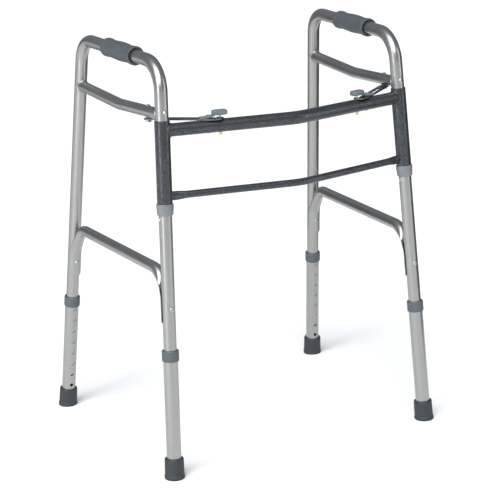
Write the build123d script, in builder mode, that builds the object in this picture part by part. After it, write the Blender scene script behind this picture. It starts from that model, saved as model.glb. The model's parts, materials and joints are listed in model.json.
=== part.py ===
from build123d import *
from math import asin, atan2, cos, hypot, radians, sin
import os

# Folding walking frame: two side frames hinged on a front frame, four telescopic legs.
# Millimetres, +Z up, the front faces -Y, left is -X.  The origin is on the floor at the
# centre of the footprint.  Left pieces are modelled and mirrored in YZ for the right.

# --- Stance ---------------------------------------------------------------------------
FRONT_FOOT_X = 288.5        # half the distance between the front feet
FRONT_FOOT_Y = -245.0       # places the origin at the middle of the depth
FOOT_SPACING = 498.2        # front foot to rear foot along a side
TOE_OUT = 2.05              # degrees, rear feet stand wider than the front feet
LEAN_IN = 2.45              # degrees, each side frame leans towards the middle
FRONT_LEG_SLOPE = 0.052     # rearward travel for each unit up
REAR_LEG_SLOPE = -0.1472

# --- Tubes ----------------------------------------------------------------------------
TUBE_R = 12.7               # 25.4 mm uprights and handle, one bent tube a side
TUBE_WALL = 1.6
BRACE_R = 11.1              # 22.2 mm side braces
BRACE_WALL = 1.2
SLIDE_FIT = 0.1             # radial clearance between telescoping tubes
SCREW_FIT = 0.1             # radial clearance of screws and pins in their holes

# --- Side frame, in the side plane: s rearward from the front foot, h up ---------------
HANDLE_S = 108.0            # a point on the handle's centreline
HANDLE_H = 804.3
HANDLE_RISE = 0.0206        # the handle climbs slightly to the rear
FRONT_BEND_R = 57.0
REAR_BEND_R = 50.0
INNER_TUBE_END = 76.0       # where the upright ends inside its leg, along the leg
UPPER_BRACE_FRONT_H = 708.2
UPPER_BRACE_LOW = (214.0, 702.0)
UPPER_BRACE_REAR_H = 713.7
UPPER_BRACE_BEND_R = 90.0

# --- Lower brace ----------------------------------------------------------------------
LOWER_BRACE_FRONT_H = 404.4
LOWER_BRACE_RISE = 0.0143
LOWER_BRACE_BEND_R = 34.0
SADDLE_R = 15.9             # outer radius of the pressed saddle that hugs the upright
SADDLE_HALF_ANGLE = 80.0
SADDLE_FIT = 0.05
SADDLE_TOP = 358.0          # along the leg
SADDLE_BOTTOM = 309.0
SADDLE_CORNER = 4.5
ROUND_END = 373.5           # where the brace is still a round tube, along the leg
BRACE_SCREW_T = 338.0
BRACE_SCREW_R = 2.5
BRACE_SCREW_HEAD_R = 4.6
BRACE_SCREW_HEAD = 2.6
BRACE_NUT_AF = 8.0
BRACE_NUT = 4.2

# --- Grip -----------------------------------------------------------------------------
GRIP_START = 140.5          # along s
GRIP_LENGTH = 122.0
GRIP_RIM_R = 18.7
GRIP_RIM = 8.5              # rim length at each end
GRIP_EASE = 1.2             # chamfer of the rims
GRIP_WAIST_R = 17.2
GRIP_WAIST = 24.0           # distance of the waists from the ends
GRIP_SWELL_R = 18.8

# --- Telescopic legs, distances along the leg from the floor ---------------------------
LEG_R = 14.3                # 28.6 mm lower tubes
LEG_TOP = 252.0
LEG_BOTTOM = 8.0
HOLE_PITCH = 25.4
TOP_HOLE = 229.5
HOLE_COUNT = 8
HOLE_R = 3.6
BUTTON_HOLE = 6             # the hole in use, counted from the top
BUTTON_R = 3.2
BUTTON_FLANGE_R = 4.3
RING_R = 16.65
RING_BOTTOM = 234.5
RING_HEIGHT = 22.0
RING_LIP = 4.5
TIP_BOTTOM_R = 20.2
TIP_TOP_R = 18.75
TIP_HEIGHT = 40.5
TIP_FLOOR = 6.0
WASHER_R = 14.0

# --- Front frame, heights in z --------------------------------------------------------
SLEEVE_R = 14.7
SLEEVE_BORE_R = 13.2
SLEEVE_BOTTOM = 535.0
SLEEVE_TOP = 696.5
COLLAR_BOTTOM = 517.5
COLLAR_TOP = 539.5
COLLAR_TOP_R = 16.6
COLLAR_BOTTOM_R = 15.45
UPPER_BAR_Z = 677.6
UPPER_BAR_R = 12.7
UPPER_BAR_WALL = 1.5
UPPER_BAR_REACH = 15.5      # the bar's middle stands this far ahead of the front feet
LOWER_BAR_Z = 553.0
LOWER_BAR_R = 7.0
LOWER_BAR_WALL = 1.2
LOWER_BAR_REACH = 23.3
BAR_BEND_R = 100.0
PIN_R = 3.2                 # domed stop pins above and below the sleeve
PIN_SHANK_R = 2.4
PIN_DOME = 1.9
UPPER_PIN_T = 714.0
LOWER_PIN_T = 511.5

# --- Latch on top of the upper bar ----------------------------------------------------
PIVOT_REACH = 54.4          # fold axis to the pivot bolt, along the side
RIVET_REACH = 88.8          # fold axis to the guide rivet, along the bar
PLUNGER_OFFSET = 24.0       # guide rivet to plunger
STRAP_GAP = 0.3
STRAP_THICKNESS = 2.5
STRAP_HALF_WIDTH = 9.2
SLOT_R = 3.3
SLOT_START = 32.0           # slot ends, from the pivot
RIVET_R = 3.1
RIVET_FOOT_R = 3.7          # domed end under the bar
RIVET_FOOT = 1.8
RIVET_SHANK_R = 2.9
RIVET_HEAD_R = 4.7
NECK_R = 1.7
PLUNGER_R = 2.75
PLUNGER_TIP_Z = 659.4
THROAT_R = 1.95
HOOK_ARM = 3.6
BOLT_R = 3.0
BOLT_HEAD_R = 4.8
BOLT_HEAD = 2.4
PIVOT_NUT_AF = 10.0
PADDLE_TAB = 3.6            # thickness of the paddle's tab
PADDLE_LIFT = 4.5           # strap to the underside of the pad
PAD_START = 8.0             # pad extent along the bar, from the guide rivet
PAD_END = 38.0
PAD_HEIGHT = 11.0
PAD_WIDTH = 15.0


# --- Reference planes -----------------------------------------------------------------
toe = radians(TOE_OUT)
lean = radians(LEAN_IN)
SIDE = Plane(
    origin=(-FRONT_FOOT_X, FRONT_FOOT_Y, 0),
    x_dir=(-sin(toe), cos(toe), 0),
    z_dir=(cos(lean) * cos(toe), cos(lean) * sin(toe), -sin(lean)),
)


def leg_plane(foot_s, slope, inward):
    """Plane on a foot: z runs up the leg, x points at the other leg of the same side."""
    origin = SIDE.from_local_coords((foot_s, 0, 0))
    along = SIDE.from_local_coords((foot_s + slope, 1, 0)) - origin
    across = SIDE.from_local_coords((foot_s + inward, -inward * slope, 0)) - origin
    return Plane(origin=origin, x_dir=across, z_dir=along)


FRONT_LEG = leg_plane(0, FRONT_LEG_SLOPE, 1)
REAR_LEG = leg_plane(FOOT_SPACING, REAR_LEG_SLOPE, -1)


def cross_plane(leg):
    """Plane through a leg's axis: x runs up the leg, z points at the other leg."""
    return Plane(origin=leg.origin, x_dir=leg.z_dir, z_dir=leg.x_dir)


def turning_plane(frame):
    """Plane that holds a frame's z axis: x is the radius and y the height."""
    return Plane(origin=frame.origin, x_dir=frame.x_dir, z_dir=-frame.y_dir)


def turning_axis(frame):
    return Axis(frame.origin, frame.z_dir)


def across_leg(leg, height, angle=0):
    """Frame at a height on a leg whose z axis crosses the leg, turned about it by angle."""
    direction = leg.x_dir.rotate(Axis((0, 0, 0), leg.z_dir), angle)
    return Plane(origin=leg.from_local_coords((0, 0, height)), x_dir=leg.z_dir, z_dir=direction)


def cap_arc(radius, rim, top):
    """Points of a spherical cap's profile: its rim, the arc's middle and its pole."""
    rise = abs(top - rim)
    ball = (radius ** 2 + rise ** 2) / (2 * rise)
    up = 1 if top > rim else -1
    half = asin(min(1, radius / ball)) / 2
    return (
        (radius, rim),
        (ball * sin(half), top - up * ball * (1 - cos(half))),
        (0, top),
    )


def leg_point(leg, z):
    """Point on a leg's axis at the world height z."""
    return leg.from_local_coords((0, 0, z / leg.z_dir.Z))


def leg_s(slope, foot_s, h):
    return foot_s + slope * h


# The bar meets the sleeve's axis here, and the latch's plan starts from that point.
bar_root = leg_point(FRONT_LEG, UPPER_BAR_Z)
bar_angle = atan2(FRONT_FOOT_Y - UPPER_BAR_REACH - bar_root.Y, -bar_root.X)
BAR_CROWN = UPPER_BAR_Z + UPPER_BAR_R
STRAP_BOTTOM = BAR_CROWN + STRAP_GAP
STRAP_TOP = STRAP_BOTTOM + STRAP_THICKNESS
LATCH = Plane(
    origin=(bar_root.X, bar_root.Y, 0),
    x_dir=(cos(bar_angle), sin(bar_angle), 0),
    z_dir=(0, 0, 1),
)
fold_point = leg_point(FRONT_LEG, STRAP_TOP)
PIVOT = Vector(fold_point.X, fold_point.Y, 0) + SIDE.x_dir * PIVOT_REACH
RIVET = LATCH.from_local_coords((RIVET_REACH, 0, 0))
PLUNGER = LATCH.from_local_coords((RIVET_REACH + PLUNGER_OFFSET, 0, 0))
strap_span = hypot(RIVET.X - PIVOT.X, RIVET.Y - PIVOT.Y)
STRAP = Plane(origin=PIVOT, x_dir=(RIVET - PIVOT).normalized(), z_dir=(0, 0, 1))
throat = STRAP.to_local_coords(PLUNGER)


# --- Side frame pieces ----------------------------------------------------------------
def handle_h(s):
    """Height of the handle's centreline at s, in the side plane."""
    return HANDLE_H + HANDLE_RISE * (s - HANDLE_S)


def handle_corner(foot_s, slope):
    """Corner where the handle's centreline meets an upright's."""
    h = (HANDLE_H + HANDLE_RISE * (foot_s - HANDLE_S)) / (1 - HANDLE_RISE * slope)
    return (leg_s(slope, foot_s, h), h)


def make_side_frame():
    """One bent tube: front upright, handle and rear upright, with its drilled holes."""
    ends = [SIDE.to_local_coords(leg.from_local_coords((0, 0, INNER_TUBE_END)))
            for leg in (FRONT_LEG, REAR_LEG)]
    with BuildPart() as side_frame:
        with BuildLine(SIDE) as centreline:
            FilletPolyline(
                (ends[0].X, ends[0].Y),
                handle_corner(0, FRONT_LEG_SLOPE),
                handle_corner(FOOT_SPACING, REAR_LEG_SLOPE),
                (ends[1].X, ends[1].Y),
                radius=[FRONT_BEND_R, REAR_BEND_R],
            )
        with BuildSketch(Plane(origin=centreline.line @ 0, z_dir=centreline.line % 0)):
            Circle(TUBE_R)
            Circle(TUBE_R - TUBE_WALL, mode=Mode.SUBTRACT)
        sweep()
        for leg in (FRONT_LEG, REAR_LEG):
            with BuildSketch(cross_plane(leg)):
                with Locations((button_height(), 0)):
                    Circle(BUTTON_R + SCREW_FIT)
            extrude(amount=2 * TUBE_R, mode=Mode.SUBTRACT)
            with BuildSketch(cross_plane(leg)):
                with Locations((BRACE_SCREW_T, 0)):
                    Circle(BRACE_SCREW_R + SCREW_FIT)
            extrude(amount=2 * TUBE_R, both=True, mode=Mode.SUBTRACT)
        with BuildSketch(across_leg(FRONT_LEG, UPPER_PIN_T, 180)):
            Circle(PIN_SHANK_R)
        extrude(amount=2 * TUBE_R, mode=Mode.SUBTRACT)
        with BuildSketch(across_leg(FRONT_LEG, LOWER_PIN_T, 90)):
            Circle(PIN_SHANK_R)
        extrude(amount=2 * TUBE_R, both=True, mode=Mode.SUBTRACT)
    return side_frame


def make_upper_brace():
    """Bent brace welded between the uprights under the handle, with the pivot bolt's hole."""
    with BuildPart() as upper_brace:
        with BuildLine(SIDE) as centreline:
            FilletPolyline(
                (leg_s(FRONT_LEG_SLOPE, 0, UPPER_BRACE_FRONT_H), UPPER_BRACE_FRONT_H),
                UPPER_BRACE_LOW,
                (leg_s(REAR_LEG_SLOPE, FOOT_SPACING, UPPER_BRACE_REAR_H), UPPER_BRACE_REAR_H),
                radius=UPPER_BRACE_BEND_R,
            )
        with BuildSketch(Plane(origin=centreline.line @ 0, z_dir=centreline.line % 0)):
            Circle(BRACE_R)
            Circle(BRACE_R - BRACE_WALL, mode=Mode.SUBTRACT)
        sweep()
        for leg in (FRONT_LEG, REAR_LEG):
            with BuildSketch(leg.offset(UPPER_BRACE_FRONT_H - 3 * TUBE_R)):
                Circle(TUBE_R)
            extrude(amount=6 * TUBE_R, mode=Mode.SUBTRACT)
        with BuildSketch(Plane(origin=PIVOT + (0, 0, STRAP_TOP))):
            Circle(BOLT_R + SCREW_FIT)
        extrude(amount=4 * BRACE_R, mode=Mode.SUBTRACT)
    return upper_brace


def brace_offset():
    """Distance from an upright's axis to the lower brace's where they run side by side."""
    return TUBE_R + BRACE_R + SADDLE_FIT


def lower_brace_point(leg, t):
    """Centre of the round brace beside a leg at height t, in the side plane."""
    local = SIDE.to_local_coords(leg.from_local_coords((brace_offset(), 0, t)))
    return (local.X, local.Y)


def lower_brace_corner(leg):
    """Corner where the brace's level run meets its run beside a leg."""
    low, high = (lower_brace_point(leg, t) for t in (ROUND_END, SLEEVE_BOTTOM))
    slope = (high[0] - low[0]) / (high[1] - low[1])
    start = low[0] - slope * low[1]
    h = (LOWER_BRACE_FRONT_H + LOWER_BRACE_RISE * start) / (1 - LOWER_BRACE_RISE * slope)
    return (start + slope * h, h)


def make_lower_brace():
    """Bent brace whose ends turn down and are pressed into saddles round the uprights."""
    edge = radians(SADDLE_HALF_ANGLE)
    saddle_edge = (SADDLE_R * cos(edge), SADDLE_R * sin(edge))
    throat_edge = (brace_offset() - BRACE_R * sin(radians(10)), BRACE_R * cos(radians(10)))
    with BuildPart() as lower_brace:
        with BuildLine(SIDE) as centreline:
            FilletPolyline(
                lower_brace_point(FRONT_LEG, ROUND_END),
                lower_brace_corner(FRONT_LEG),
                lower_brace_corner(REAR_LEG),
                lower_brace_point(REAR_LEG, ROUND_END),
                radius=LOWER_BRACE_BEND_R,
            )
        with BuildSketch(Plane(origin=centreline.line @ 0, z_dir=centreline.line % 0)):
            Circle(BRACE_R)
            Circle(BRACE_R - BRACE_WALL, mode=Mode.SUBTRACT)
        sweep()
        for leg in (FRONT_LEG, REAR_LEG):
            with BuildSketch(leg.offset(ROUND_END)):
                with BuildLine():
                    ThreePointArc(
                        (throat_edge[0], -throat_edge[1]),
                        (brace_offset() + BRACE_R, 0),
                        throat_edge,
                    )
                    ThreePointArc(
                        throat_edge,
                        (brace_offset() - BRACE_R, 0),
                        (throat_edge[0], -throat_edge[1]),
                    )
                make_face()
            with BuildSketch(leg.offset(SADDLE_TOP)):
                with BuildLine():
                    ThreePointArc(
                        (saddle_edge[0], -saddle_edge[1]), (SADDLE_R, 0), saddle_edge
                    )
                    ThreePointArc(
                        saddle_edge,
                        (saddle_edge[0] - 1, 0),
                        (saddle_edge[0], -saddle_edge[1]),
                    )
                make_face()
            loft()
            with BuildSketch(leg.offset(SADDLE_BOTTOM)):
                Circle(SADDLE_R)
                with Locations((saddle_edge[0] - SADDLE_R, 0)):
                    Rectangle(2 * SADDLE_R, 2 * SADDLE_R, mode=Mode.SUBTRACT)
            extrude(amount=SADDLE_TOP - SADDLE_BOTTOM)
            with BuildSketch(leg.offset(SADDLE_BOTTOM - 1)):
                Circle(TUBE_R + SADDLE_FIT)
            extrude(amount=LOWER_BRACE_FRONT_H - SADDLE_BOTTOM, mode=Mode.SUBTRACT)
            with BuildSketch(cross_plane(leg)):
                for edge_side in (-1, 1):
                    with BuildLine():
                        Polyline(
                            (SADDLE_BOTTOM, edge_side * SADDLE_R),
                            (SADDLE_BOTTOM + SADDLE_CORNER, edge_side * SADDLE_R),
                            (SADDLE_BOTTOM, edge_side * (SADDLE_R - SADDLE_CORNER)),
                            close=True,
                        )
                    make_face()
            extrude(amount=2 * SADDLE_R, mode=Mode.SUBTRACT)
            with BuildSketch(cross_plane(leg)):
                with Locations((BRACE_SCREW_T, 0)):
                    Circle(BRACE_SCREW_R + SCREW_FIT)
            extrude(amount=2 * SADDLE_R, mode=Mode.SUBTRACT)
    return lower_brace


def make_brace_screws():
    """Two domed screws, one through each upright and its saddle."""
    seats = {
        "front": (across_leg(FRONT_LEG, BRACE_SCREW_T, 180), TUBE_R, SADDLE_R),
        "rear": (across_leg(REAR_LEG, BRACE_SCREW_T), SADDLE_R, TUBE_R),
    }
    with BuildPart() as brace_screws:
        for frame, head_seat, nut_seat in seats.values():
            end = -nut_seat - BRACE_NUT - 1.5
            with BuildSketch(turning_plane(frame)):
                with BuildLine():
                    Polyline(
                        (0, end),
                        (BRACE_SCREW_R, end),
                        (BRACE_SCREW_R, head_seat),
                        (BRACE_SCREW_HEAD_R, head_seat),
                        (BRACE_SCREW_HEAD_R, head_seat + 0.6),
                    )
                    ThreePointArc(
                        *cap_arc(BRACE_SCREW_HEAD_R, head_seat + 0.6, head_seat + BRACE_SCREW_HEAD)
                    )
                    Line((0, head_seat + BRACE_SCREW_HEAD), (0, end))
                make_face()
            revolve(axis=turning_axis(frame))
    return brace_screws


def make_brace_nuts():
    """Two hexagon nuts that close the brace screws."""
    seats = (
        (across_leg(FRONT_LEG, BRACE_SCREW_T), SADDLE_R),
        (across_leg(REAR_LEG, BRACE_SCREW_T, 180), TUBE_R),
    )
    with BuildPart() as brace_nuts:
        for frame, seat in seats:
            with BuildSketch(frame.offset(seat)):
                RegularPolygon(BRACE_NUT_AF / 2, 6, major_radius=False)
                Circle(BRACE_SCREW_R, mode=Mode.SUBTRACT)
            extrude(amount=BRACE_NUT)
    return brace_nuts


def make_grip():
    """Moulded hand grip: raised rims, a waist behind each and a gentle swell between."""
    start = SIDE.from_local_coords((GRIP_START, handle_h(GRIP_START), 0))
    end_s = GRIP_START + GRIP_LENGTH
    along = SIDE.from_local_coords((end_s, handle_h(end_s), 0)) - start
    frame = Plane(origin=start, x_dir=SIDE.z_dir, z_dir=along)
    with BuildPart() as grip:
        with BuildSketch(turning_plane(frame)):
            with BuildLine():
                Polyline(
                    (TUBE_R, 0), (GRIP_RIM_R - GRIP_EASE, 0),
                    (GRIP_RIM_R, GRIP_EASE), (GRIP_RIM_R, GRIP_RIM),
                )
                Spline(
                    (GRIP_RIM_R, GRIP_RIM), (GRIP_WAIST_R, GRIP_WAIST),
                    (GRIP_SWELL_R, GRIP_LENGTH / 2),
                    (GRIP_WAIST_R, GRIP_LENGTH - GRIP_WAIST),
                    (GRIP_RIM_R, GRIP_LENGTH - GRIP_RIM),
                )
                Polyline(
                    (GRIP_RIM_R, GRIP_LENGTH - GRIP_RIM), (GRIP_RIM_R, GRIP_LENGTH - GRIP_EASE),
                    (GRIP_RIM_R - GRIP_EASE, GRIP_LENGTH), (TUBE_R, GRIP_LENGTH), (TUBE_R, 0),
                )
            make_face()
        revolve(axis=turning_axis(frame))
    return grip


def make_stop_pins():
    """Domed pins that keep the sleeve in place: a blind one above, a through one below."""
    upper = across_leg(FRONT_LEG, UPPER_PIN_T, 180)
    lower = across_leg(FRONT_LEG, LOWER_PIN_T, 90)
    with BuildPart() as stop_pins:
        for frame, ends in ((upper, (1,)), (lower, (1, -1))):
            inner = 0 if len(ends) == 2 else TUBE_R - TUBE_WALL - 1
            with BuildSketch(frame.offset(inner)):
                Circle(PIN_SHANK_R)
            extrude(amount=TUBE_R - inner)
            if len(ends) == 2:
                with BuildSketch(frame):
                    Circle(PIN_SHANK_R)
                extrude(amount=-TUBE_R)
            for end in ends:
                with BuildSketch(turning_plane(frame)):
                    with BuildLine():
                        Line((0, end * (TUBE_R - 0.1)), (0, end * (TUBE_R + PIN_DOME)))
                        ThreePointArc(*cap_arc(PIN_R, end * TUBE_R, end * (TUBE_R + PIN_DOME)))
                        Polyline(
                            (PIN_R, end * TUBE_R),
                            (PIN_SHANK_R, end * TUBE_R),
                            (PIN_SHANK_R, end * (TUBE_R - 0.1)),
                            (0, end * (TUBE_R - 0.1)),
                        )
                    make_face()
                revolve(axis=turning_axis(frame))
    return stop_pins


# --- Leg pieces -----------------------------------------------------------------------
def button_height():
    return TOP_HOLE - (BUTTON_HOLE - 1) * HOLE_PITCH


def make_extension(leg):
    """Lower leg tube with its row of adjusting holes on the inner side."""
    with BuildPart() as extension:
        with BuildSketch(leg.offset(LEG_BOTTOM)):
            Circle(LEG_R)
            Circle(TUBE_R + SLIDE_FIT, mode=Mode.SUBTRACT)
        extrude(amount=LEG_TOP - LEG_BOTTOM)
        with BuildSketch(cross_plane(leg)):
            with Locations(*[(TOP_HOLE - i * HOLE_PITCH, 0) for i in range(HOLE_COUNT)]):
                Circle(HOLE_R)
        extrude(amount=2 * LEG_R, mode=Mode.SUBTRACT)
    return extension


def make_ring(leg):
    """Plastic ring on the mouth of the lower tube, with a lip that guides the upright."""
    top = RING_BOTTOM + RING_HEIGHT
    with BuildPart() as ring:
        with BuildSketch(turning_plane(leg)):
            with BuildLine():
                Polyline(
                    (LEG_R, RING_BOTTOM),
                    (RING_R - 1.2, RING_BOTTOM),
                    (RING_R, RING_BOTTOM + 1.6),
                    (RING_R, top - 1.2),
                    (RING_R - 1.0, top),
                    (TUBE_R + SLIDE_FIT, top),
                    (TUBE_R + SLIDE_FIT, top - RING_LIP),
                    (LEG_R, top - RING_LIP),
                    close=True,
                )
            make_face()
        revolve(axis=turning_axis(leg))
    return ring


def make_tip(leg):
    """Rubber ferrule, cut level with the floor."""
    with BuildPart() as tip:
        with BuildSketch(turning_plane(leg)):
            with BuildLine():
                Polyline(
                    (0, -TIP_FLOOR),
                    (TIP_BOTTOM_R, -TIP_FLOOR),
                    (TIP_BOTTOM_R, 5),
                    (TIP_BOTTOM_R - 0.9, 8),
                    (TIP_TOP_R, TIP_HEIGHT - 2),
                    (TIP_TOP_R - 1.5, TIP_HEIGHT),
                    (LEG_R, TIP_HEIGHT),
                    (LEG_R, TIP_FLOOR),
                    (0, TIP_FLOOR),
                    close=True,
                )
            make_face()
        revolve(axis=turning_axis(leg))
        split(bisect_by=Plane.XY, keep=Keep.TOP)
    return tip


def make_tip_washer(leg):
    """Steel washer that keeps the tube from cutting through the rubber."""
    with BuildPart() as tip_washer:
        with BuildSketch(leg.offset(TIP_FLOOR)):
            Circle(WASHER_R)
            Circle(4, mode=Mode.SUBTRACT)
        extrude(amount=LEG_BOTTOM - TIP_FLOOR)
    return tip_washer


def make_leg_button(leg):
    """Domed snap button, drawn pressed in as far as the inner face of the lower tube."""
    frame = across_leg(leg, button_height())
    face = TUBE_R - 0.1
    with BuildPart() as leg_button:
        with BuildSketch(turning_plane(frame)):
            with BuildLine():
                Polyline(
                    (0, 6.9), (BUTTON_FLANGE_R, 6.9), (BUTTON_FLANGE_R, 8.2),
                    (BUTTON_R, 8.2), (BUTTON_R, face - 1.1),
                )
                ThreePointArc(*cap_arc(BUTTON_R, face - 1.1, face))
                Line((0, face), (0, 6.9))
            make_face()
        revolve(axis=turning_axis(frame))
    return leg_button


def make_button_spring(leg):
    """Hairpin leaf spring inside the upright that pushes the button out."""
    t = button_height()
    strip = 0.6
    with BuildPart() as button_spring:
        with BuildLine(turning_plane(leg)) as hairpin:
            FilletPolyline(
                (6.5, t - 6.5), (6.5, t + 34), (-10.3, t + 34), (-10.3, t - 6.5), radius=7.5
            )
        with BuildSketch(Plane(origin=hairpin.line @ 0, x_dir=leg.x_dir, z_dir=leg.z_dir)):
            Rectangle(strip, 6)
        sweep()
    return button_spring


# --- Front frame pieces ---------------------------------------------------------------
def make_sleeve():
    """Steel tube that turns about the front upright and carries both cross bars."""
    bottom, top = (z / FRONT_LEG.z_dir.Z for z in (SLEEVE_BOTTOM, SLEEVE_TOP))
    with BuildPart() as sleeve:
        with BuildSketch(FRONT_LEG.offset(bottom)):
            Circle(SLEEVE_R)
            Circle(SLEEVE_BORE_R, mode=Mode.SUBTRACT)
        extrude(amount=top - bottom)
    return sleeve


def make_collar():
    """Plastic bearing collar under the sleeve; its upper lip surrounds the sleeve's end."""
    bottom, top, seat = (
        z / FRONT_LEG.z_dir.Z for z in (COLLAR_BOTTOM, COLLAR_TOP, SLEEVE_BOTTOM)
    )
    bore = TUBE_R + SLIDE_FIT
    with BuildPart() as collar:
        with BuildSketch(turning_plane(FRONT_LEG)):
            with BuildLine():
                Polyline(
                    (bore, bottom),
                    (COLLAR_BOTTOM_R - 1.2, bottom),
                    (COLLAR_BOTTOM_R, bottom + 2.5),
                    (COLLAR_TOP_R, top - 5),
                    (COLLAR_TOP_R, top - 1),
                    (COLLAR_TOP_R - 0.8, top),
                    (SLEEVE_R, top),
                    (SLEEVE_R, seat),
                    (bore, seat),
                    close=True,
                )
            make_face()
        revolve(axis=turning_axis(FRONT_LEG))
    return collar


def make_crossbar(z, reach, outer, wall, drilled):
    """Bowed bar between the sleeves, its ends coped to them; the upper one is drilled."""
    root = leg_point(FRONT_LEG, z)
    middle_y = FRONT_FOOT_Y - reach
    with BuildPart() as crossbar:
        with BuildLine(Plane.XY.offset(z)) as centreline:
            FilletPolyline(
                (root.X, root.Y), (0, middle_y), (-root.X, root.Y), radius=BAR_BEND_R
            )
        with BuildSketch(Plane(origin=centreline.line @ 0, z_dir=centreline.line % 0)):
            Circle(outer)
            Circle(outer - wall, mode=Mode.SUBTRACT)
        sweep()
        with BuildSketch(FRONT_LEG.offset(z - 4 * outer)):
            Circle(SLEEVE_R)
        extrude(amount=8 * outer, mode=Mode.SUBTRACT)
        if drilled:
            for point, radius in ((RIVET, RIVET_SHANK_R), (PLUNGER, PLUNGER_R + SCREW_FIT)):
                with BuildSketch(Plane(origin=point + (0, 0, z))):
                    Circle(radius)
                extrude(amount=2 * outer, both=True, mode=Mode.SUBTRACT)
        split(bisect_by=Plane.YZ, keep=Keep.BOTTOM)
        mirror(about=Plane.YZ)
    return crossbar


# --- Latch pieces ---------------------------------------------------------------------
def make_strap():
    """Slotted steel strap with a rounded eye and a hook that catches the plunger."""
    hook_top = throat.Y + THROAT_R + HOOK_ARM
    hook_end = throat.X + THROAT_R + 5.0
    mouth = throat.X - 7.0
    with BuildPart() as strap:
        with BuildSketch(STRAP.offset(STRAP_BOTTOM)):
            Circle(STRAP_HALF_WIDTH)
            with BuildLine():
                Polyline(
                    (0, -STRAP_HALF_WIDTH),
                    (strap_span + 10, -STRAP_HALF_WIDTH),
                    (hook_end - 2, -3),
                    (hook_end, 3),
                    (hook_end, hook_top - 4),
                    (hook_end - 4, hook_top),
                    (mouth + 2, hook_top),
                    (mouth, hook_top - 2),
                    (mouth, throat.Y + THROAT_R),
                    (throat.X, throat.Y + THROAT_R),
                )
                ThreePointArc(
                    (throat.X, throat.Y + THROAT_R),
                    (throat.X + THROAT_R, throat.Y),
                    (throat.X, throat.Y - THROAT_R),
                )
                Polyline(
                    (throat.X, throat.Y - THROAT_R),
                    (mouth - 2, STRAP_HALF_WIDTH),
                    (0, STRAP_HALF_WIDTH),
                    (0, -STRAP_HALF_WIDTH),
                )
            make_face()
            Circle(BOLT_R + SCREW_FIT, mode=Mode.SUBTRACT)
            with Locations(((SLOT_START + strap_span + SLOT_R) / 2, 0)):
                SlotOverall(
                    strap_span + SLOT_R - SLOT_START, 2 * SLOT_R, mode=Mode.SUBTRACT
                )
        extrude(amount=STRAP_THICKNESS)
    return strap


def make_pivot_nut():
    """Flanged nut under the strap, with the short bush that fills the strap's eye."""
    with BuildPart() as pivot_nut:
        with BuildSketch(Plane(origin=PIVOT + (0, 0, STRAP_BOTTOM))):
            Circle(BOLT_R + SCREW_FIT)
        extrude(amount=STRAP_THICKNESS)
        with BuildSketch(Plane(origin=PIVOT + (0, 0, STRAP_BOTTOM))):
            Circle(PIVOT_NUT_AF / 2 + 1)
        extrude(amount=-0.9)
        with BuildSketch(Plane(origin=PIVOT + (0, 0, STRAP_BOTTOM - 0.9))):
            RegularPolygon(PIVOT_NUT_AF / 2, 6, major_radius=False)
        extrude(amount=-3.4)
    return pivot_nut


def make_pivot_bolt():
    """Round-headed bolt down through the upper brace; it ends just above the strap."""
    start = leg_s(FRONT_LEG_SLOPE, 0, UPPER_BRACE_FRONT_H)
    fall = (UPPER_BRACE_LOW[1] - UPPER_BRACE_FRONT_H) / (UPPER_BRACE_LOW[0] - start)
    brace_z = (UPPER_BRACE_FRONT_H + fall * PIVOT_REACH) * cos(lean)
    bottom = brace_z - BRACE_R
    crown = brace_z + BRACE_R + 0.3
    with BuildPart() as pivot_bolt:
        with BuildSketch(turning_plane(Plane(origin=PIVOT))):
            with BuildLine():
                Polyline(
                    (0, bottom), (BOLT_R, bottom), (BOLT_R, crown), (BOLT_HEAD_R, crown),
                    (BOLT_HEAD_R, crown + 0.7),
                )
                ThreePointArc(*cap_arc(BOLT_HEAD_R, crown + 0.7, crown + BOLT_HEAD))
                Line((0, crown + BOLT_HEAD), (0, bottom))
            make_face()
        revolve(axis=turning_axis(Plane(origin=PIVOT)))
    return pivot_bolt


def make_guide_rivet():
    """Shouldered rivet through the bar that guides the strap and holds the paddle."""
    bar_bottom = UPPER_BAR_Z - UPPER_BAR_R
    head = STRAP_TOP + STRAP_GAP + PADDLE_TAB + 0.8
    with BuildPart() as guide_rivet:
        with BuildSketch(turning_plane(Plane(origin=RIVET))):
            with BuildLine():
                Line((0, bar_bottom - RIVET_FOOT), (0, head + 2.4))
                ThreePointArc(*cap_arc(RIVET_HEAD_R, head + 0.4, head + 2.4))
                Polyline(
                    (RIVET_HEAD_R, head + 0.4), (RIVET_HEAD_R, head), (RIVET_R, head),
                    (RIVET_R, BAR_CROWN), (RIVET_SHANK_R, BAR_CROWN),
                    (RIVET_SHANK_R, bar_bottom), (RIVET_FOOT_R, bar_bottom),
                )
                ThreePointArc(*cap_arc(RIVET_FOOT_R, bar_bottom, bar_bottom - RIVET_FOOT))
            make_face()
        revolve(axis=turning_axis(Plane(origin=RIVET)))
    return guide_rivet


def make_plunger():
    """Brass plunger: thin neck through the strap's throat, thick shank through the bar."""
    shoulder = BAR_CROWN + 0.1
    neck_top = STRAP_TOP + PADDLE_LIFT + 5.0
    flange_top = UPPER_BAR_Z + 7.5
    with BuildPart() as plunger:
        with BuildSketch(turning_plane(Plane(origin=PLUNGER))):
            with BuildLine():
                Polyline(
                    (0, PLUNGER_TIP_Z),
                    (PLUNGER_R - 0.9, PLUNGER_TIP_Z),
                    (PLUNGER_R, PLUNGER_TIP_Z + 0.9),
                    (PLUNGER_R, flange_top - 1.2),
                    (PLUNGER_R + 2.0, flange_top - 1.2),
                    (PLUNGER_R + 2.0, flange_top),
                    (PLUNGER_R, flange_top),
                    (PLUNGER_R, shoulder),
                    (NECK_R, shoulder),
                    (NECK_R, neck_top),
                    (0, neck_top),
                    close=True,
                )
            make_face()
        revolve(axis=turning_axis(Plane(origin=PLUNGER)))
    return plunger


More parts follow.
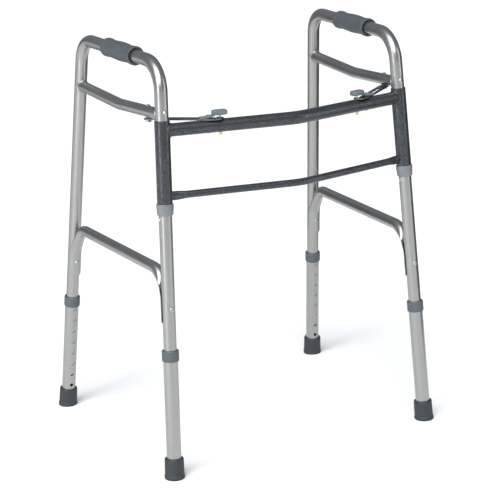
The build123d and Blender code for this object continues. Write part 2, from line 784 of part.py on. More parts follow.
def make_plunger_spring():
    """Coil spring inside the bar, between its lower wall and the plunger's flange."""
    wire = 0.45
    coil = PLUNGER_R + 0.4 + wire
    floor = UPPER_BAR_Z - sqrt_drop(UPPER_BAR_R - UPPER_BAR_WALL, coil + wire) + wire + 0.1
    top = UPPER_BAR_Z + 7.5 - 1.2 - wire - 0.1
    with BuildPart() as plunger_spring:
        with BuildLine(Plane(origin=PLUNGER + (0, 0, floor))) as turns:
            Helix(pitch=(top - floor) / 6, height=top - floor, radius=coil)
        with BuildSketch(Plane(origin=turns.line @ 0, z_dir=turns.line % 0)):
            Circle(wire)
        sweep(is_frenet=True)
    return plunger_spring


def sqrt_drop(radius, offset):
    """Height of a circle's edge above its centre at a sideways offset."""
    return (radius ** 2 - offset ** 2) ** 0.5


def make_paddle():
    """Plastic release paddle: a tab round the guide rivet and a raised thumb pad."""
    tab_bottom = STRAP_TOP + STRAP_GAP
    tab_top = tab_bottom + PADDLE_TAB
    pad_bottom = STRAP_TOP + PADDLE_LIFT
    pad_top = pad_bottom + PAD_HEIGHT
    middle = RIVET_REACH
    section = Plane(origin=LATCH.origin, x_dir=LATCH.x_dir, z_dir=-LATCH.y_dir)
    with BuildPart() as paddle:
        with BuildSketch(section):
            with BuildLine():
                Polyline(
                    (middle - 17, tab_bottom),
                    (middle, tab_bottom),
                    (middle + PAD_START, tab_bottom + 1.3),
                    (middle + PAD_START, tab_top + 0.6),
                    (middle + 4, tab_top),
                    (middle - 16, tab_top),
                    (middle - 17, tab_top - 1),
                    close=True,
                )
            make_face()
        extrude(amount=6, both=True)
        with BuildSketch(Plane(origin=RIVET + (0, 0, tab_bottom - 1))):
            Circle(RIVET_R + 0.8)
        extrude(amount=3 * PADDLE_TAB, mode=Mode.SUBTRACT)
        with BuildSketch(section):
            with BuildLine():
                Polyline(
                    (middle + PAD_START, tab_bottom + 1.3),
                    (middle + PAD_START + 3.5, pad_bottom),
                    (middle + PAD_END - 2.5, pad_bottom),
                    (middle + PAD_END, pad_bottom + 2.5),
                    (middle + PAD_END, pad_top - 4),
                    (middle + PAD_END - 4, pad_top),
                    (middle + PAD_START + 5, pad_top),
                    (middle + PAD_START, pad_top - 4),
                    close=True,
                )
            make_face()
        extrude(amount=PAD_WIDTH / 2, both=True)
        with BuildSketch(Plane(origin=PLUNGER + (0, 0, pad_bottom - 1))):
            Circle(NECK_R + 1.1)
        extrude(amount=6.5, mode=Mode.SUBTRACT)
    return paddle


# --- Output ---------------------------------------------------------------------------
def save(piece, name):
    piece.part.label = name
    export_step(piece.part, f"parts/{name}.step")


def save_pair(piece, name):
    """Write a left piece and its mirror image."""
    save(piece, "left_" + name)
    with BuildPart() as mirrored:
        mirror(piece.part, about=Plane.YZ)
    save(mirrored, "right_" + name)


os.makedirs("parts", exist_ok=True)

save_pair(make_side_frame(), "side_frame")
save_pair(make_upper_brace(), "upper_brace")
save_pair(make_lower_brace(), "lower_brace")
save_pair(make_brace_screws(), "brace_screws")
save_pair(make_brace_nuts(), "brace_nuts")
save_pair(make_grip(), "grip")
save_pair(make_stop_pins(), "sleeve_stop_pins")
save_pair(make_pivot_bolt(), "pivot_bolt")

for end_name, leg in (("front", FRONT_LEG), ("rear", REAR_LEG)):
    save_pair(make_extension(leg), end_name + "_leg_tube")
    save_pair(make_ring(leg), end_name + "_leg_ring")
    save_pair(make_tip(leg), end_name + "_tip")
    save_pair(make_tip_washer(leg), end_name + "_tip_washer")
    save_pair(make_leg_button(leg), end_name + "_leg_button")
    save_pair(make_button_spring(leg), end_name + "_button_spring")

save_pair(make_sleeve(), "sleeve")
save_pair(make_collar(), "sleeve_collar")
save(
    make_crossbar(UPPER_BAR_Z, UPPER_BAR_REACH, UPPER_BAR_R, UPPER_BAR_WALL, True),
    "upper_crossbar",
)
save(
    make_crossbar(LOWER_BAR_Z, LOWER_BAR_REACH, LOWER_BAR_R, LOWER_BAR_WALL, False),
    "lower_crossbar",
)

save_pair(make_strap(), "latch_strap")
save_pair(make_pivot_nut(), "pivot_nut")
save_pair(make_guide_rivet(), "guide_rivet")
save_pair(make_plunger(), "latch_plunger")
save_pair(make_plunger_spring(), "plunger_spring")
save_pair(make_paddle(), "release_paddle")
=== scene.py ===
import json
from math import acos, asin, cos, hypot, pi, radians, sin, sqrt, tan

import bpy
from mathutils import Matrix, Vector, noise


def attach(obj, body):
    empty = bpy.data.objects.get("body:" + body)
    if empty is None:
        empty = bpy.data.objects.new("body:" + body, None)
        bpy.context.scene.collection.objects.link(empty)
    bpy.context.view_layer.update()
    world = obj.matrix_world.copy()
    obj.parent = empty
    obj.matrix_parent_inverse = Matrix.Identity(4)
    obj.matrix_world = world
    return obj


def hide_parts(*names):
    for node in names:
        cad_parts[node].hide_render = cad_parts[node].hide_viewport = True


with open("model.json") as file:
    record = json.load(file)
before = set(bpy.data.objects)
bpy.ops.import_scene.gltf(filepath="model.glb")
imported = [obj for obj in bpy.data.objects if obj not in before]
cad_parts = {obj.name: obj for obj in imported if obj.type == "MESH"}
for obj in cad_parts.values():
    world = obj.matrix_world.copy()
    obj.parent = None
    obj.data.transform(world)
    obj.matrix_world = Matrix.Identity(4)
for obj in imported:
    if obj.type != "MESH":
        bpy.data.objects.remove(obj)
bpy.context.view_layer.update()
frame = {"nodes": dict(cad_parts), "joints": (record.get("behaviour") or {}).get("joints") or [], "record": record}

# --- Driving dimensions, metres; places come from the frame -------------------------------
# Side frame.  A pair is (s, h): s behind the front foot and h up, in the side's own plane.
TUBE_R = 0.0127
TUBE_WALL = 0.0016
BRACE_R = 0.0111
BRACE_WALL = 0.0012
HANDLE_POINT = (0.108, 0.8043)
HANDLE_RISE = 0.0206        # climb of the handle for each unit rearward
FRONT_BEND_R = 0.057
REAR_BEND_R = 0.050
TUBE_END = 0.076            # where the upright ends inside its leg
UPPER_BRACE_FRONT_H = 0.7082
UPPER_BRACE_LOW = (0.214, 0.702)
UPPER_BRACE_REAR_H = 0.7137
UPPER_BRACE_BEND_R = 0.065
LOWER_BRACE_H = 0.4044
LOWER_BRACE_RISE = 0.0143
LOWER_BRACE_BEND_R = 0.034
BRACE_FIT = 0.00005         # gap between a turned-down brace end and its upright
SADDLE_R = 0.0159
SADDLE_BORE = 0.01275
SADDLE_HALF = radians(80)
SADDLE_BOTTOM = 0.309
SADDLE_RUN = 0.046          # run of the full saddle from the brace's end
PRESSING_RUN = 0.098        # run at which the round tube starts to flatten
ROUND_END = 0.3735
SCREW_HEIGHT = 0.338
GRIP_START = 0.1405
GRIP_LENGTH = 0.122

# Legs, by height along the leg's axis
LEG_R = 0.0143
LEG_BORE = 0.0128
LEG_BOTTOM = 0.008
LEG_TOP = 0.252
HOLE_PITCH = 0.0254
TOP_HOLE = 0.2295
HOLE_COUNT = 8
HOLE_R = 0.0036
BUTTON_HOLE = 6             # the hole in use, counted from the top
BUTTON_HEIGHT = TOP_HOLE - (BUTTON_HOLE - 1) * HOLE_PITCH
BUTTON_R = 0.0032
RING_R = 0.01665
RING_BOTTOM = 0.2345
RING_TOP = 0.2565
TIP_BOTTOM_R = 0.0202
TIP_TOP_R = 0.01875
TIP_HEIGHT = 0.0405

# Front frame and latches, by world height
SLEEVE_R = 0.0147
SLEEVE_BORE = 0.0132
SLEEVE_BOTTOM = 0.535
SLEEVE_TOP = 0.6965
COLLAR_BOTTOM = 0.5175
COLLAR_TOP = 0.5395
COLLAR_TOP_R = 0.0166
COLLAR_BOTTOM_R = 0.01545
# A bar's reach is how far its middle stands ahead of the front feet; taller and thinner
# say how much its ends are pressed.
UPPER_BAR = {"z": 0.6776, "radius": 0.0127, "reach": 0.0155, "taller": 0.0, "thinner": 0.0}
LOWER_BAR = {"z": 0.553, "radius": 0.007, "reach": 0.0233, "taller": 0.26, "thinner": 0.30}
BAR_BEND_R = 0.100
BAR_INSET = 0.009           # how far the bar's ends stand off the sleeve's axis
STRAP_TOP = 0.6931

WELD_R = 0.0019
ROUND = 48                  # divisions round a tube
STEP = 0.004                # spacing of rings along a bend
RUN_STEP = 0.02             # spacing of rings along a straight run
CREASE = radians(38)        # sharper edges than this stay sharp


# --- Places from the frame ----------------------------------------------------------------
def joint(name):
    return next(j for j in frame["joints"] if j["name"] == name)


def mount(name):
    return next(m for m in frame["record"]["mounts"] if m["name"] == name)


class Place:
    """A right-handed set of axes with an origin."""

    def __init__(self, origin, x, z):
        self.origin = Vector(origin)
        self.z = Vector(z).normalized()
        self.x = (Vector(x) - self.z * Vector(x).dot(self.z)).normalized()
        self.y = self.z.cross(self.x)

    def at(self, x, y, z):
        return self.origin + self.x * x + self.y * y + self.z * z


FRONT_FOOT = Vector(mount("left_front_foot")["pos_m"])
REAR_FOOT = Vector(mount("left_rear_foot")["pos_m"])
FRONT_AXIS = Vector(joint("left_front_leg_slide")["axis"]).normalized()
REAR_AXIS = Vector(joint("left_rear_leg_slide")["axis"]).normalized()
BACKWARD = (REAR_FOOT - FRONT_FOOT).normalized()
FRONT_LEG = Place(FRONT_FOOT, BACKWARD, FRONT_AXIS)
REAR_LEG = Place(REAR_FOOT, -BACKWARD, REAR_AXIS)
INWARD = FRONT_AXIS.cross(REAR_AXIS).normalized()
SIDE_UP = INWARD.cross(BACKWARD)
UP = Vector((0, 0, 1))
RIVET = Vector(joint("left_paddle_hinge")["pos_m"])
ACROSS_BAR = Vector(joint("left_paddle_hinge")["axis"]).normalized()
BAR_WAY = ACROSS_BAR.cross(UP)


def on_side(s, h):
    """Point of the left side plane, s behind the front foot and h up."""
    return FRONT_FOOT + BACKWARD * s + SIDE_UP * h


def side_coordinates(point):
    """A point's (s, h) in the left side plane."""
    local = point - FRONT_FOOT
    return local.dot(BACKWARD), local.dot(SIDE_UP)


def axis_point(leg, z):
    """Point of a leg's axis at the world height z."""
    return leg.at(0, 0, (z - leg.origin.z) / leg.z.z)


# --- Paths --------------------------------------------------------------------------------
def filleted(points, radii):
    """Points along straight runs joined by arcs, evenly spaced on the arcs."""
    path = [points[0]]
    for before, corner, after, radius in zip(points, points[1:], points[2:], radii):
        back, ahead = (before - corner).normalized(), (after - corner).normalized()
        turn = pi - acos(max(-1, min(1, back.dot(ahead))))
        reach = radius * tan(turn / 2)
        centre = corner + (back + ahead).normalized() * (radius / cos(turn / 2))
        arm = corner + back * reach - centre
        side = corner + ahead * reach - centre
        count = max(4, int(radius * turn / STEP) + 1)
        for i in range(count + 1):
            share = i / count
            blend = (arm * sin((1 - share) * turn) + side * sin(share * turn)) / sin(turn)
            path.append(centre + blend)
    path.append(points[-1])
    return spaced(path)


def spaced(path):
    """The path with its long straight runs divided."""
    out = [path[0]]
    for a, b in zip(path, path[1:]):
        count = max(1, round((b - a).length / RUN_STEP))
        out += [a.lerp(b, (i + 1) / count) for i in range(count)]
    return out


def divided(path, step, where):
    """The path with its stretches that pass the test cut to at most the step."""
    out = []
    for a, b in zip(path, path[1:]):
        count = max(1, round((b - a).length / step)) if where(a, b) else 1
        out += [a.lerp(b, i / count) for i in range(count)]
    return out + [path[-1]]


def crossing(a0, a1, b0, b1):
    """Where two lines of the side plane meet, each given by two (s, h) points."""
    d, e = (a1[0] - a0[0], a1[1] - a0[1]), (b1[0] - b0[0], b1[1] - b0[1])
    share = ((b0[0] - a0[0]) * e[1] - (b0[1] - a0[1]) * e[0]) / (d[0] * e[1] - d[1] * e[0])
    return (a0[0] + share * d[0], a0[1] + share * d[1])


# --- Meshes -------------------------------------------------------------------------------
def add_piece(name, side, verts, faces, grain, material, body, nodes, slot):
    """Make a piece from left-hand geometry, mirrored for the right side."""
    if side == "right":
        verts = [Vector((-v.x, v.y, v.z)) for v in verts]
        faces = [tuple(reversed(f)) for f in faces]
    mesh = bpy.data.meshes.new(name)
    mesh.from_pydata(verts, [], faces)
    mesh.validate()
    attribute = mesh.attributes.new("grain", "FLOAT_VECTOR", "POINT")
    attribute.data.foreach_set("vector", [c for g in grain for c in g])
    mesh.shade_smooth()
    mesh.set_sharp_from_angle(angle=CREASE)
    mesh.materials.append(material)
    piece = bpy.data.objects.new(name, mesh)
    bpy.context.scene.collection.objects.link(piece)
    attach(piece, body)
    if nodes:
        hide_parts(*nodes)
    return piece


def grid_faces(rows, columns):
    """Quads between rows of points, each row closed on itself."""
    faces = []
    for i in range(rows - 1):
        for j in range(columns):
            k = (j + 1) % columns
            a, b = i * columns, (i + 1) * columns
            faces.append((a + j, a + k, b + k, b + j))
    return faces


def sweep(path, side_axis, section):
    """Rings of section(run) carried along a path, as (across, side) points at each run."""
    verts, grain, run = [], [], 0.0
    for i, point in enumerate(path):
        ahead = path[min(i + 1, len(path) - 1)] - path[max(i - 1, 0)]
        along = ahead.normalized()
        axis = (side_axis - along * side_axis.dot(along)).normalized()
        across = axis.cross(along)
        if i:
            run += (point - path[i - 1]).length
        for u, v in section(run):
            verts.append(point + across * u + axis * v)
            grain.append((u, v, run))
    return verts, grain


def circle_section(radius):
    turns = [2 * pi * k / ROUND for k in range(ROUND)]
    ring = [(radius * cos(turn), radius * sin(turn)) for turn in turns]
    return lambda run: ring


def tube_shell(path, side_axis, radius, wall):
    """An open-ended tube with its bore, its wall closed at both ends."""
    outer, grain_out = sweep(path, side_axis, circle_section(radius))
    inner, grain_in = sweep(path, side_axis, circle_section(radius - wall))
    count = len(outer)
    rows = len(path)
    faces = grid_faces(rows, ROUND)
    faces += [tuple(reversed([v + count for v in f])) for f in grid_faces(rows, ROUND)]
    for k in range(ROUND):
        n = (k + 1) % ROUND
        faces.append((n, k, k + count, n + count))
        last = (rows - 1) * ROUND
        faces.append((last + k, last + n, last + n + count, last + k + count))
    return outer + inner, faces, grain_out + grain_in


def rounded(outline, radius, steps=4):
    """A closed outline with every corner off the axis eased by up to radius."""
    out = []
    count = len(outline)
    for i, corner in enumerate(outline):
        before, after = outline[i - 1], outline[(i + 1) % count]
        ends = []
        for other in (before, after):
            d = (other[0] - corner[0], other[1] - corner[1])
            length = hypot(*d)
            reach = min(radius, 0.45 * length) / length
            ends.append((corner[0] + d[0] * reach, corner[1] + d[1] * reach))
        if corner[0] < 1e-6:
            out.append(corner)
            continue
        for k in range(steps + 1):
            t = k / steps
            out.append(tuple(
                (1 - t) ** 2 * ends[0][c] + 2 * t * (1 - t) * corner[c] + t * t * ends[1][c]
                for c in (0, 1)
            ))
    return out


def lathe(place, outline, ripple=None):
    """A closed outline of (radius, height) points turned about a place's z axis."""
    verts, grain = [], []
    for radius, height in outline:
        for k in range(ROUND):
            angle = 2 * pi * k / ROUND
            r = radius + (ripple(angle, radius, height) if ripple else 0)
            verts.append(place.at(r * cos(angle), r * sin(angle), height))
            grain.append((r * cos(angle), r * sin(angle), height))
    rows = len(outline)
    faces = grid_faces(rows, ROUND)
    last = (rows - 1) * ROUND
    for k in range(ROUND):
        n = (k + 1) % ROUND
        faces.append((last + k, last + n, n, k))
    return verts, faces, grain


def weld_bead(start, way, radius, axis_origin, axis_way, axis_radius):
    """Rippled bead where a tube along way runs into a cylinder."""
    way = way.normalized()
    e1 = way.orthogonal().normalized()
    e2 = way.cross(e1)
    loop = []
    for k in range(ROUND * 2):
        angle = pi * k / ROUND
        p = start + (e1 * cos(angle) + e2 * sin(angle)) * radius
        off = p - axis_origin
        off -= axis_way * off.dot(axis_way)
        move = way - axis_way * way.dot(axis_way)
        a, b, c = move.dot(move), 2 * off.dot(move), off.dot(off) - axis_radius ** 2
        t = (-b - sqrt(max(0, b * b - 4 * a * c))) / (2 * a)
        loop.append((p + way * t, off + move * t))
    verts, grain = [], []
    divisions = 10
    for i, (p, off) in enumerate(loop):
        normal = off.normalized()
        along = (loop[(i + 1) % len(loop)][0] - loop[i - 1][0]).normalized()
        pulse = 1 + 0.10 * sin(i * 2.1) + 0.10 * noise.noise(p * 400)
        e = (normal - along * normal.dot(along)).normalized()
        f = along.cross(e)
        for k in range(divisions):
            turn = 2 * pi * k / divisions
            offset = (e * cos(turn) + f * sin(turn)) * WELD_R * pulse
            verts.append(p + offset)
            grain.append(tuple(offset))
    faces = []
    for i in range(len(loop)):
        a, b = i * divisions, (i + 1) % len(loop) * divisions
        for k in range(divisions):
            m = (k + 1) % divisions
            faces.append((a + k, a + m, b + m, b + k))
    return verts, faces, grain


def joined(*shapes):
    """Several (verts, faces, grain) shapes as one."""
    verts, faces, grain = [], [], []
    for v, f, g in shapes:
        start = len(verts)
        verts += v
        grain += g
        faces += [tuple(i + start for i in face) for face in f]
    return verts, faces, grain


# --- Materials ----------------------------------------------------------------------------
def new_material(name):
    material = bpy.data.materials.new(name)
    material.use_nodes = True
    nodes = material.node_tree.nodes
    return material, nodes, material.node_tree.links, nodes["Principled BSDF"]


def coordinates(nodes, links, scale, from_grain=True):
    """Vector in metres along the piece's own run, or in its object space, scaled."""
    mapping = nodes.new("ShaderNodeMapping")
    mapping.inputs["Scale"].default_value = scale
    if from_grain:
        source = nodes.new("ShaderNodeAttribute")
        source.attribute_name = "grain"
        links.new(source.outputs["Vector"], mapping.inputs["Vector"])
    else:
        source = nodes.new("ShaderNodeTexCoord")
        links.new(source.outputs["Object"], mapping.inputs["Vector"])
    return mapping.outputs["Vector"]


def noise_value(nodes, links, vector, scale, detail=3, roughness=0.6):
    texture = nodes.new("ShaderNodeTexNoise")
    texture.inputs["Scale"].default_value = scale
    texture.inputs["Detail"].default_value = detail
    texture.inputs["Roughness"].default_value = roughness
    links.new(vector, texture.inputs["Vector"])
    return texture.outputs["Fac"]


def ranged(nodes, links, value, low, high, from_low=0.3, from_high=0.7):
    node = nodes.new("ShaderNodeMapRange")
    node.inputs["From Min"].default_value = from_low
    node.inputs["From Max"].default_value = from_high
    node.inputs["To Min"].default_value = low
    node.inputs["To Max"].default_value = high
    links.new(value, node.inputs["Value"])
    return node.outputs["Result"]


def ramped(nodes, links, value, stops):
    node = nodes.new("ShaderNodeValToRGB")
    ramp = node.color_ramp
    while len(ramp.elements) < len(stops):
        ramp.elements.new(0.5)
    for element, (place, color) in zip(ramp.elements, stops):
        element.position = place
        element.color = (*color, 1)
    links.new(value, node.inputs["Fac"])
    return node.outputs["Color"]


def bumped(nodes, links, shader, heights):
    """Chain bump nodes of (value, distance, strength) into the shader's normal."""
    normal = None
    for value, distance, strength in heights:
        bump = nodes.new("ShaderNodeBump")
        bump.inputs["Distance"].default_value = distance
        bump.inputs["Strength"].default_value = strength
        links.new(value, bump.inputs["Height"])
        if normal:
            links.new(normal, bump.inputs["Normal"])
        normal = bump.outputs["Normal"]
    links.new(normal, shader.inputs["Normal"])


def scaled(color, k):
    return tuple(min(1, c * k) for c in color)


def shaded(nodes, links, value, color, dark, light, ends=(0.3, 0.7)):
    """The colour varied by a value, from dark times the colour to light times it."""
    stops = [(ends[0], scaled(color, dark)), (ends[1], scaled(color, light))]
    return ramped(nodes, links, value, stops)


def make_aluminium():
    """Satin anodised tube: fine streaks along the run, faint blotches and a fine grit."""
    material, nodes, links, shader = new_material("satin_aluminium")
    color = (0.375, 0.377, 0.369)
    streak = noise_value(nodes, links, coordinates(nodes, links, (1, 1, 0.012)), 900, 3, 0.65)
    blotch = noise_value(nodes, links, coordinates(nodes, links, (1, 1, 0.35)), 55, 4, 0.6)
    grit = noise_value(nodes, links, coordinates(nodes, links, (1, 1, 0.3)), 1600, 3, 0.7)
    mixed = nodes.new("ShaderNodeMix")
    mixed.data_type = "RGBA"
    mixed.inputs["Factor"].default_value = 0.4
    streaked = shaded(nodes, links, streak, color, 0.90, 1.08, (0.32, 0.68))
    links.new(streaked, mixed.inputs["A"])
    links.new(shaded(nodes, links, blotch, color, 0.92, 1.06), mixed.inputs["B"])
    links.new(mixed.outputs["Result"], shader.inputs["Base Color"])
    shader.inputs["Metallic"].default_value = 1.0
    links.new(ranged(nodes, links, blotch, 0.31, 0.40), shader.inputs["Roughness"])
    bumped(nodes, links, shader, [(streak, 0.000012, 0.4), (grit, 0.000008, 0.4)])
    return material


def make_hammered_paint():
    """Dark hammered powder coat: lighter dimples with raised rims."""
    material, nodes, links, shader = new_material("hammered_paint")
    vector = coordinates(nodes, links, (1, 1, 0.8))
    cells = nodes.new("ShaderNodeTexVoronoi")
    cells.inputs["Scale"].default_value = 620
    cells.inputs["Randomness"].default_value = 1.0
    links.new(vector, cells.inputs["Vector"])
    patch = noise_value(nodes, links, vector, 260, 3, 0.6)
    color = ramped(nodes, links, patch, [
        (0.34, (0.026, 0.030, 0.034)),
        (0.54, (0.041, 0.046, 0.052)),
        (0.72, (0.074, 0.080, 0.094)),
    ])
    links.new(color, shader.inputs["Base Color"])
    shader.inputs["Metallic"].default_value = 0.55
    links.new(ranged(nodes, links, patch, 0.46, 0.28), shader.inputs["Roughness"])
    shader.inputs["Coat Weight"].default_value = 0.35
    shader.inputs["Coat Roughness"].default_value = 0.22
    bumped(nodes, links, shader, [(cells.outputs["Distance"], 0.00016, 0.5), (patch, 0.00010, 0.4)])
    return material


def make_plastic(name, color, roughness, grain_size=1500, coat=0.0):
    """Moulded plastic: fine grain, faint flow marks and a little unevenness of gloss."""
    material, nodes, links, shader = new_material(name)
    vector = coordinates(nodes, links, (1, 1, 1))
    cloud = noise_value(nodes, links, vector, 70, 4, 0.6)
    grain = noise_value(nodes, links, vector, grain_size, 2, 0.6)
    links.new(shaded(nodes, links, cloud, color, 0.88, 1.12), shader.inputs["Base Color"])
    gloss = ranged(nodes, links, cloud, roughness - 0.06, roughness + 0.08)
    links.new(gloss, shader.inputs["Roughness"])
    shader.inputs["Coat Weight"].default_value = coat
    bumped(nodes, links, shader, [(grain, 0.00008, 0.5), (cloud, 0.0002, 0.2)])
    return material


def make_metal(name, color, roughness, spread=0.12, blotch_scale=120):
    """Small plated or turned hardware, in object space."""
    material, nodes, links, shader = new_material(name)
    vector = coordinates(nodes, links, (1, 1, 1), from_grain=False)
    blotch = noise_value(nodes, links, vector, blotch_scale, 4, 0.65)
    fine = noise_value(nodes, links, vector, 1800, 3, 0.7)
    tint = shaded(nodes, links, blotch, color, 1 - 2 * spread, 1 + spread)
    links.new(tint, shader.inputs["Base Color"])
    shader.inputs["Metallic"].default_value = 1.0
    links.new(ranged(nodes, links, fine, roughness, roughness + 0.15), shader.inputs["Roughness"])
    bumped(nodes, links, shader, [(fine, 0.00005, 0.5)])
    return material


ALUMINIUM = make_aluminium()
PAINT = make_hammered_paint()
COLLAR_PLASTIC = make_plastic("collar_plastic", (0.150, 0.165, 0.180), 0.42)
RING_PLASTIC = make_plastic("ring_plastic", (0.066, 0.080, 0.090), 0.48)
GRIP_VINYL = make_plastic("grip_vinyl", (0.060, 0.069, 0.076), 0.56, 2200)
TIP_RUBBER = make_plastic("tip_rubber", (0.020, 0.026, 0.032), 0.60, 2000)
PADDLE_PLASTIC = make_plastic("paddle_plastic", (0.095, 0.125, 0.142), 0.38, 1800, 0.15)
STRAP_STEEL = make_metal("strap_steel", (0.19, 0.20, 0.215), 0.34, 0.3, 260)
ZINC = make_metal("zinc_hardware", (0.42, 0.50, 0.53), 0.22)
CHROME = make_metal("chrome_hardware", (0.62, 0.65, 0.67), 0.12, 0.05)
BRASS = make_metal("turned_brass", (0.74, 0.50, 0.17), 0.24)
SPRING_STEEL = make_metal("spring_steel", (0.45, 0.45, 0.46), 0.30)

# Small hardware keeps its CAD shape and only gets a material.
KEPT = {
    "brace_nuts": ZINC,
    "sleeve_stop_pins": CHROME,
    "pivot_bolt": ZINC,
    "front_button_spring": SPRING_STEEL,
    "rear_button_spring": SPRING_STEEL,
    "front_tip_washer": ZINC,
    "rear_tip_washer": ZINC,
    "latch_strap": STRAP_STEEL,
    "pivot_nut": ZINC,
    "guide_rivet": CHROME,
    "latch_plunger": BRASS,
    "plunger_spring": SPRING_STEEL,
}
for side in ("left", "right"):
    for part, material in KEPT.items():
        node = frame["nodes"][f"{side}_{part}"]
        node.data.materials.clear()
        node.data.materials.append(material)
        node.material_slots[0].material = material


# --- Side frame ---------------------------------------------------------------------------
def leg_line(leg):
    """Two (s, h) points of a leg's axis."""
    return side_coordinates(leg.at(0, 0, 0)), side_coordinates(leg.at(0, 0, 1))


def make_side_tube(side):
    """Bent tube: front upright, handle and rear upright."""
    handle = (HANDLE_POINT, (HANDLE_POINT[0] + 1, HANDLE_POINT[1] + HANDLE_RISE))
    corners = [crossing(*leg_line(leg), *handle) for leg in (FRONT_LEG, REAR_LEG)]
    path = filleted(
        [FRONT_LEG.at(0, 0, TUBE_END), on_side(*corners[0]), on_side(*corners[1]),
         REAR_LEG.at(0, 0, TUBE_END)],
        [FRONT_BEND_R, REAR_BEND_R],
    )
    shell = tube_shell(path, INWARD, TUBE_R, TUBE_WALL)
    add_piece(f"{side}_side_tube", side, *shell, ALUMINIUM, f"{side}_side",
              [f"{side}_side_frame"], "satin_aluminium")


def make_upper_brace(side):
    """Bent tube under the handle, with a weld bead at each upright."""
    front = crossing(*leg_line(FRONT_LEG), (0, UPPER_BRACE_FRONT_H), (1, UPPER_BRACE_FRONT_H))
    rear = crossing(*leg_line(REAR_LEG), (0, UPPER_BRACE_REAR_H), (1, UPPER_BRACE_REAR_H))
    ends = [on_side(*front), on_side(*rear)]
    low = on_side(*UPPER_BRACE_LOW)
    inset = 0.006               # how far the tube's ends stand off the legs' axes
    path = filleted(
        [ends[0].lerp(low, inset / (low - ends[0]).length), low,
         ends[1].lerp(low, inset / (low - ends[1]).length)],
        [UPPER_BRACE_BEND_R],
    )
    tube = tube_shell(path, INWARD, BRACE_R, BRACE_WALL)
    beads = [
        weld_bead(low, end - low, BRACE_R, leg.origin, leg.z, TUBE_R)
        for end, leg in zip(ends, (FRONT_LEG, REAR_LEG))
    ]
    add_piece(f"{side}_upper_side_brace", side, *joined(tube, *beads), ALUMINIUM,
              f"{side}_side", [f"{side}_upper_brace"], "satin_aluminium")


def smooth(t):
    """Eased step from 0 to 1, level outside that range."""
    t = max(0.0, min(1.0, t))
    return t * t * (3 - 2 * t)


def make_lower_brace(side):
    """Bent tube whose turned-down ends flatten into saddles that hug the uprights."""
    offset = TUBE_R + BRACE_R + BRACE_FIT
    level = ((0, LOWER_BRACE_H), (1, LOWER_BRACE_H + LOWER_BRACE_RISE))
    corners = []
    for leg in (FRONT_LEG, REAR_LEG):
        beside = [side_coordinates(leg.at(offset, 0, h)) for h in (ROUND_END, SLEEVE_BOTTOM)]
        corners.append(on_side(*crossing(*beside, *level)))
    path = filleted(
        [FRONT_LEG.at(offset, 0, SADDLE_BOTTOM), corners[0], corners[1],
         REAR_LEG.at(offset, 0, SADDLE_BOTTOM)],
        [LOWER_BRACE_BEND_R] * 2,
    )
    fine, above = 0.0015, 0.03       # ring spacing, up to this far above the round end
    path = divided(path, fine, lambda a, b: min(a.z, b.z) < ROUND_END + above)
    total = sum((b - a).length for a, b in zip(path, path[1:]))
    corner, corner_trim = 0.0045, 0.30

    def section(run):
        """Round tube, pressed towards two arcs about the upright's axis near the ends."""
        end = min(run, total - run)
        pressed = smooth((PRESSING_RUN - end) / (PRESSING_RUN - SADDLE_RUN))
        trim = corner_trim * max(0.0, 1 - end / corner)
        ring = []
        for k in range(ROUND):
            angle = 2 * pi * (k + 0.5) / ROUND
            u_round, v_round = BRACE_R * cos(angle), BRACE_R * sin(angle)
            outer = cos(angle) < 0
            swing = asin(max(-1, min(1, sin(angle)))) * (SADDLE_HALF - trim) / (pi / 2)
            r = SADDLE_R if outer else SADDLE_BORE
            edge = abs(sin(angle)) ** 14
            r += (0.5 * (SADDLE_R + SADDLE_BORE) - r) * edge
            u_flat, v_flat = offset - r * cos(swing), r * sin(swing)
            u = u_round + (u_flat - u_round) * pressed
            v = v_round + (v_flat - v_round) * pressed
            ring.append((u, v))
        return ring

    verts, grain = sweep(path, INWARD, section)
    rows = len(path)
    faces = grid_faces(rows, ROUND)
    last = (rows - 1) * ROUND
    quarter = ROUND // 4
    for k in range(-quarter, quarter - 1):   # close the ends between the outer and inner arcs
        a, b = k % ROUND, (k + 1) % ROUND
        c, d = 2 * quarter - 2 - k, 2 * quarter - 1 - k
        faces.append((d, c, b, a))
        faces.append((last + a, last + b, last + c, last + d))
    add_piece(f"{side}_lower_side_brace", side, verts, faces, grain, ALUMINIUM,
              f"{side}_side", [f"{side}_lower_brace"], "satin_aluminium")


def make_grip(side):
    """Moulded grip: a rolled rim with an open mouth at each end, waists and a swell."""
    start = on_side(GRIP_START, HANDLE_POINT[1] + HANDLE_RISE * (GRIP_START - HANDLE_POINT[0]))
    way = (BACKWARD + SIDE_UP * HANDLE_RISE).normalized()
    place = Place(start, INWARD, way)
    mm = 0.001
    length = GRIP_LENGTH / mm
    # The rim is (radius, height) in millimetres, the swell (share of the length, radius).
    rim = [(12.75, 4.2), (13.5, 2.8), (15.4, 0.5), (17.4, 0.1), (18.5, 1.0), (18.7, 3.4),
           (18.6, 7.4)]
    swell = [(0.10, 18.2), (0.145, 17.5), (0.19, 17.2), (0.26, 17.5), (0.37, 18.4),
             (0.49, 18.8), (0.60, 18.45), (0.71, 17.7), (0.80, 17.2), (0.85, 17.4),
             (0.90, 18.1)]
    outline = rim + [(radius, share * length) for share, radius in swell]
    outline += [(radius, length - height) for radius, height in reversed(rim)]
    outline = [(r * mm, h * mm) for r, h in outline]
    bore = TUBE_R - 0.0004           # sunk in the tube, so that no gap shows
    outline += [(bore, outline[-1][1]), (bore, outline[0][1])]
    shape = lathe(place, eased(outline))
    add_piece(f"{side}_hand_grip", side, *shape, GRIP_VINYL, f"{side}_side",
              [f"{side}_grip"], "grip_vinyl")


